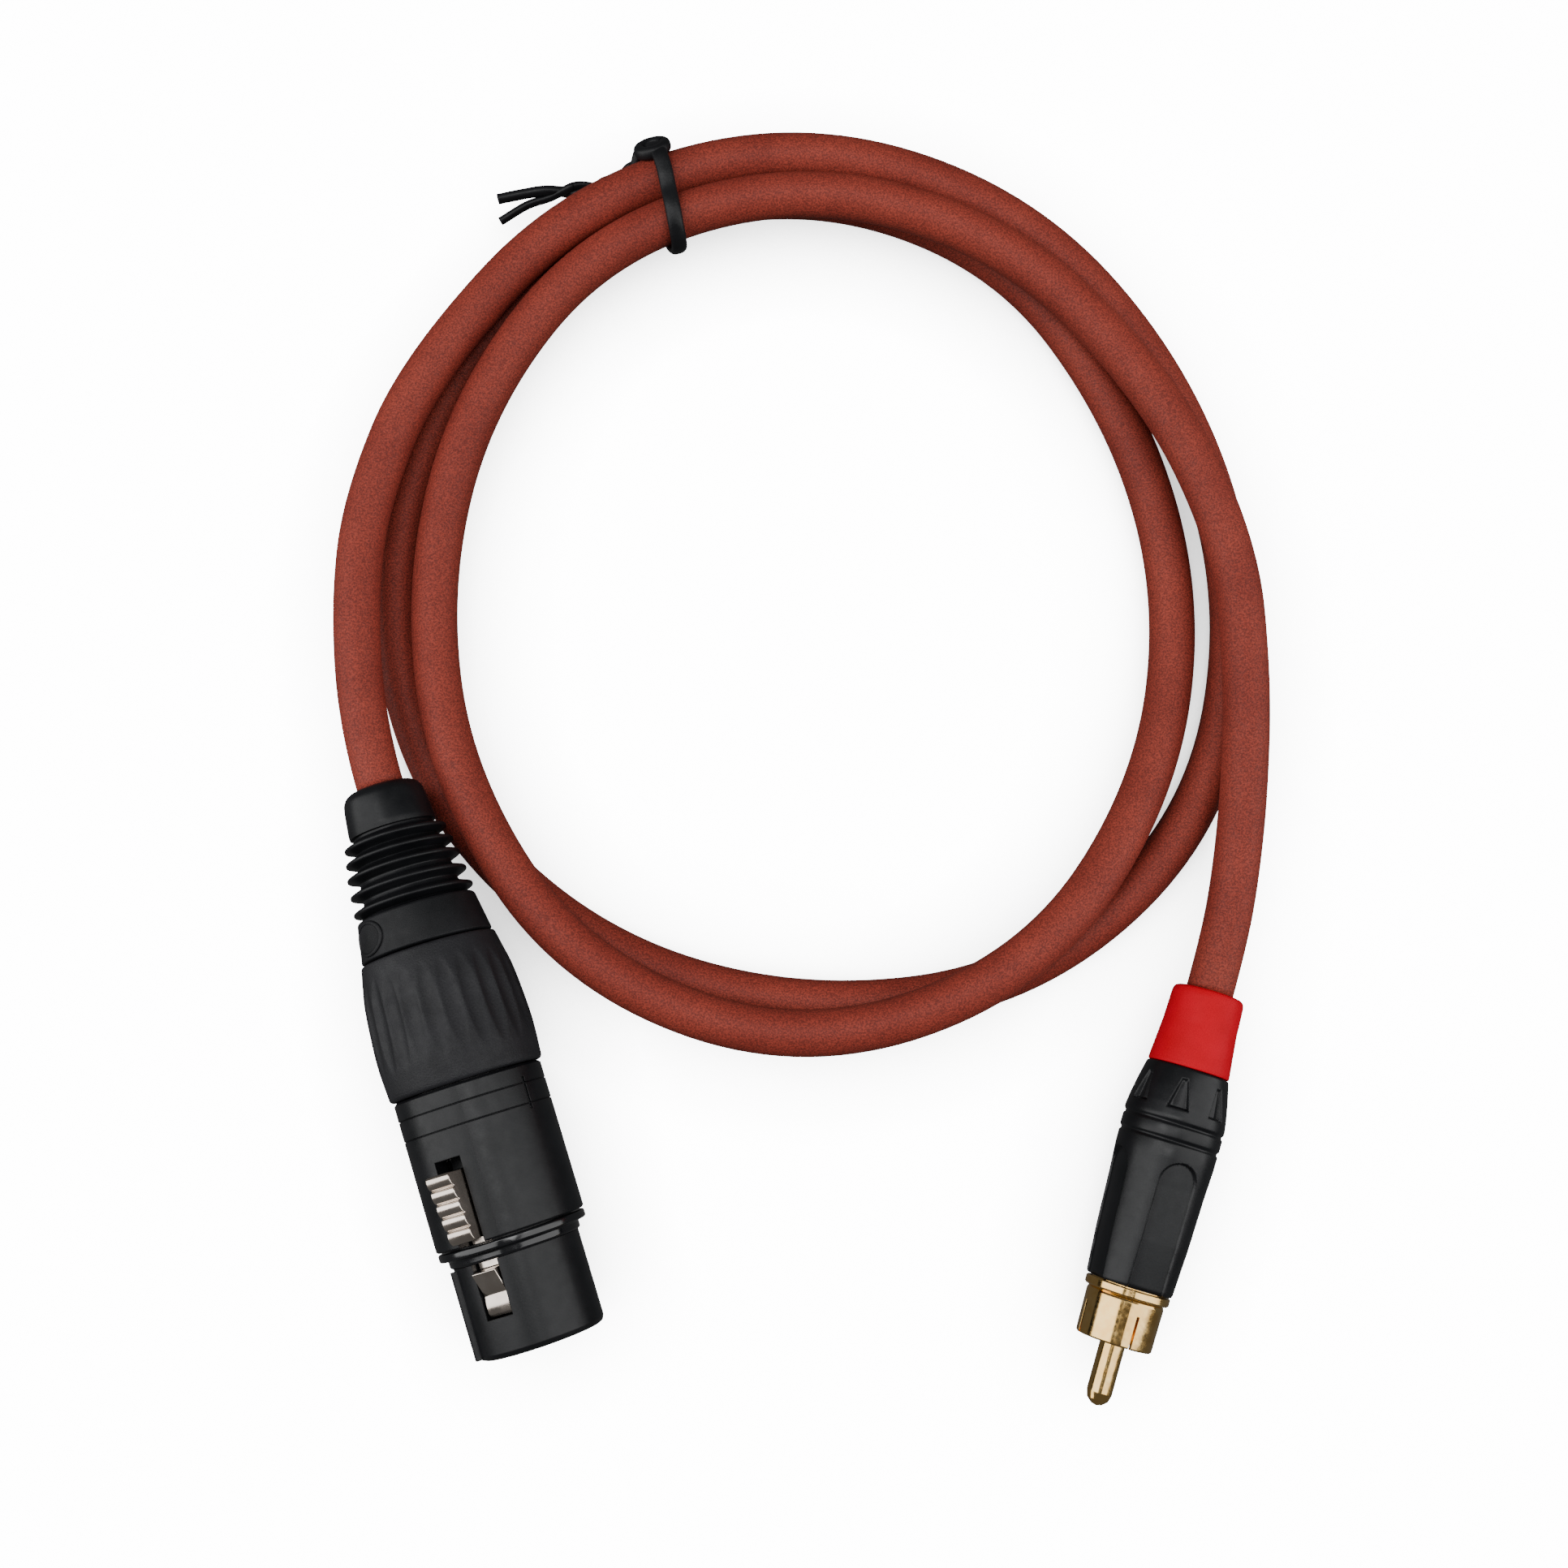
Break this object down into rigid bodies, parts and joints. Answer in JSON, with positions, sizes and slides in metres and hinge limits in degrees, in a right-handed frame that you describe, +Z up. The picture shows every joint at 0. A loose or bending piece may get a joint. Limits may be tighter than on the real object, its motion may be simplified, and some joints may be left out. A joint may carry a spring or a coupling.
{
  "type": "audio cable",
  "caption": "Coiled audio lead with a latching female XLR connector at one end, an RCA plug at the other, and a twist tie round the coil.",
  "frame": {"origin": "bottom centre of the two connectors, on the surface that the lead lies on", "axes": "+X from the XLR connector to the RCA plug, +Y from the connectors to the coil, +Z up"},
  "size_m": [0.1211, 0.1662, 0.0222],
  "materials": {
    "boot_rubber": "satin moulded rubber",
    "ring_plastic": "fine matte",
    "bushing_plastic": "fine matte grain",
    "clamp_plastic": "plain",
    "black_metal": "satin black coat",
    "seal_rubber": "glossy",
    "insert_plastic": "satin",
    "latch_nickel": "bright nickel",
    "steel": "plain",
    "screen_copper": "tinned copper braid",
    "wire_white": "plain",
    "wire_black": "plain",
    "gold": "polished gold plate",
    "red_plastic": "satin",
    "insulator_plastic": "satin",
    "cable_jacket": "matte PVC jacket",
    "tie_pvc": "satin PVC"
  },
  "bodies": {
    "root": {"xlr_chuck": "clamp_plastic", "xlr_shell": "black_metal", "xlr_rubber_ring": "seal_rubber", "xlr_insert": "insert_plastic", "xlr_socket_1": "gold", "xlr_socket_2": "gold", "xlr_socket_3": "gold", "xlr_latch_pin": "steel", "xlr_latch_spring": "steel", "xlr_ground_tab": "steel", "xlr_cable_end": "cable_jacket", "xlr_wire_screen": "screen_copper", "xlr_wire_hot": "wire_white", "xlr_wire_cold": "wire_black", "rca_body": "gold", "rca_ground_sleeve": "gold", "rca_insulator": "insulator_plastic", "rca_centre_pin": "gold", "rca_cable_clamp": "gold", "rca_inner_tube": "insulator_plastic", "rca_cable_end": "cable_jacket", "rca_wire_hot": "wire_white", "rca_wire_screen": "screen_copper", "cable_coil": "cable_jacket", "cable_tail_xlr": "cable_jacket", "cable_tail_rca": "cable_jacket", "twist_tie": "tie_pvc"},
    "latch": {"xlr_latch": "latch_nickel"},
    "xlr_boot": {"xlr_boot": "boot_rubber", "xlr_id_ring": "ring_plastic"},
    "xlr_bushing": {"xlr_bushing": "bushing_plastic"},
    "rca_collar": {"rca_collar": "red_plastic"},
    "rca_barrel": {"rca_barrel": "black_metal"}
  },
  "joints": [
    {"name": "latch_press", "type": "hinge", "parent": "root", "child": "latch", "pos_m": [-0.04002, -0.00803, 0.0146], "axis": [0.8767, 0.2806, 0.3907], "range_deg": [0, 5], "stiffness_Nm_per_rad": 0.2, "springref_deg": -2.86, "deforming": ["xlr_latch_spring"]},
    {"name": "xlr_boot_back", "type": "slide", "parent": "root", "child": "xlr_boot", "axis": [-0.3049, 0.9524, 0], "range_m": [0, 0.006]},
    {"name": "xlr_bushing_turn", "type": "hinge", "parent": "xlr_boot", "child": "xlr_bushing", "pos_m": [-0.04346, 0.00914, 0.01], "axis": [-0.3049, 0.9524, 0], "range_deg": [0, 1440]},
    {"name": "rca_collar_back", "type": "slide", "parent": "root", "child": "rca_collar", "axis": [0.294, 0.9558, 0], "range_m": [0, 0.00375]},
    {"name": "rca_barrel_turn", "type": "hinge", "parent": "rca_collar", "child": "rca_barrel", "pos_m": [0.0458, -0.01197, 0.0064], "axis": [0.294, 0.9558, 0], "range_deg": [0, 1800]}
  ],
  "couplings": [
    {"joint": "xlr_bushing_turn", "follows": "xlr_boot_back", "rad_per_m": 4188.8},
    {"joint": "rca_barrel_turn", "follows": "rca_collar_back", "rad_per_m": 8377.6}
  ]
}
